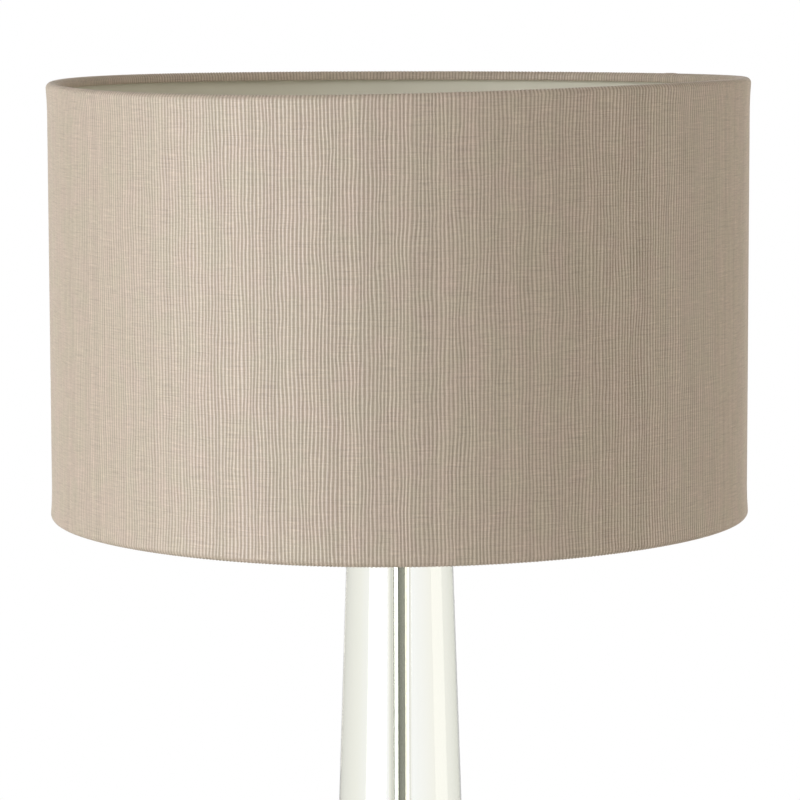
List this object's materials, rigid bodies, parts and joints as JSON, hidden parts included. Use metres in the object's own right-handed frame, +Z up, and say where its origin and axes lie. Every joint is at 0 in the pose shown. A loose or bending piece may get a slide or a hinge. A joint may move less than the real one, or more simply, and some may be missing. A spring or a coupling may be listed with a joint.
{
  "type": "table lamp",
  "caption": "Table lamp: ribbed fabric drum shade on a tapered clear glass column with a polished tube inside, on a round plated foot.",
  "frame": {"origin": "centre of the felt's underside, on the table", "axes": "+Z up along the glass column and shade, +Y to the back where the cord inlet is, +X to the right seen from the front"},
  "size_m": [0.4, 0.4, 0.64],
  "materials": {
    "felt": "needled felt",
    "zinc_steel": "zinc plated",
    "polished_nickel": "polished nickel plate",
    "cast_iron": "as cast, black varnish",
    "black_nylon": "moulded",
    "white_nylon": "moulded",
    "brass": "bright",
    "brown_lead": "extruded sleeve",
    "blue_lead": "extruded sleeve",
    "green_lead": "extruded sleeve",
    "clear_gasket": "soft clear gasket",
    "clear_glass": "fire polished",
    "black_phenolic": "moulded",
    "white_steel": "white powder coat",
    "shade_lining": "smooth sheet",
    "taupe_cloth": "ribbed weave",
    "opal_glass": "opal, satin",
    "bulb_tin": "rolled",
    "black_glass": "fused"
  },
  "bodies": {
    "lamp": {"felt_pad": "felt", "base_cover": "zinc_steel", "cover_screws": "zinc_steel", "foot_shell": "polished_nickel", "foot_weight": "cast_iron", "inlet_bush": "black_nylon", "terminal_block": "white_nylon", "terminal_sleeves": "brass", "terminal_screws": "zinc_steel", "block_screw": "zinc_steel", "earth_tag": "zinc_steel", "earth_screw": "brass", "live_lead": "brown_lead", "neutral_lead": "blue_lead", "earth_lead": "green_lead", "centre_tube": "polished_nickel", "bottom_nut": "zinc_steel", "bottom_washer": "zinc_steel", "foot_collar": "polished_nickel", "seat_gasket": "clear_gasket", "glass_column": "clear_glass", "top_gasket": "clear_gasket", "top_cap": "polished_nickel", "cap_washer": "polished_nickel", "clamp_nut": "polished_nickel", "neck_sleeve": "polished_nickel", "holder_cup": "polished_nickel", "holder_insulator": "black_phenolic", "holder_terminals": "brass", "holder_screws": "brass", "holder_skirt": "black_phenolic", "screw_shell": "brass", "centre_contact": "brass", "lower_shade_ring": "black_phenolic"},
    "shade": {"shade_carrier": "white_steel", "shade_spokes": "white_steel", "lower_wire": "white_steel", "upper_wire": "white_steel", "shade_lining": "shade_lining", "shade_fabric": "taupe_cloth", "lower_hem": "taupe_cloth", "upper_hem": "taupe_cloth"},
    "shade_ring": {"upper_shade_ring": "black_phenolic"},
    "bulb": {"bulb_contact": "zinc_steel", "bulb_insulator": "black_glass", "bulb_cap": "bulb_tin", "bulb_envelope": "opal_glass"},
    "switch": {"switch_bar": "black_phenolic", "switch_knobs": "black_phenolic"}
  },
  "joints": [
    {"name": "shade_turn", "type": "hinge", "parent": "lamp", "child": "shade", "pos_m": [0, 0, 0.431], "axis": [0, 0, 1], "continuous": true},
    {"name": "ring_unscrew", "type": "hinge", "parent": "lamp", "child": "shade_ring", "pos_m": [0, 0, 0.4328], "axis": [0, 0, 1], "range_deg": [0, 1080]},
    {"name": "bulb_lift", "type": "slide", "parent": "lamp", "child": "bulb", "axis": [0, 0, 1], "range_m": [0, 0.024]},
    {"name": "switch_slide", "type": "slide", "parent": "lamp", "child": "switch", "axis": [1, 0, 0], "range_m": [0, 0.005]}
  ]
}
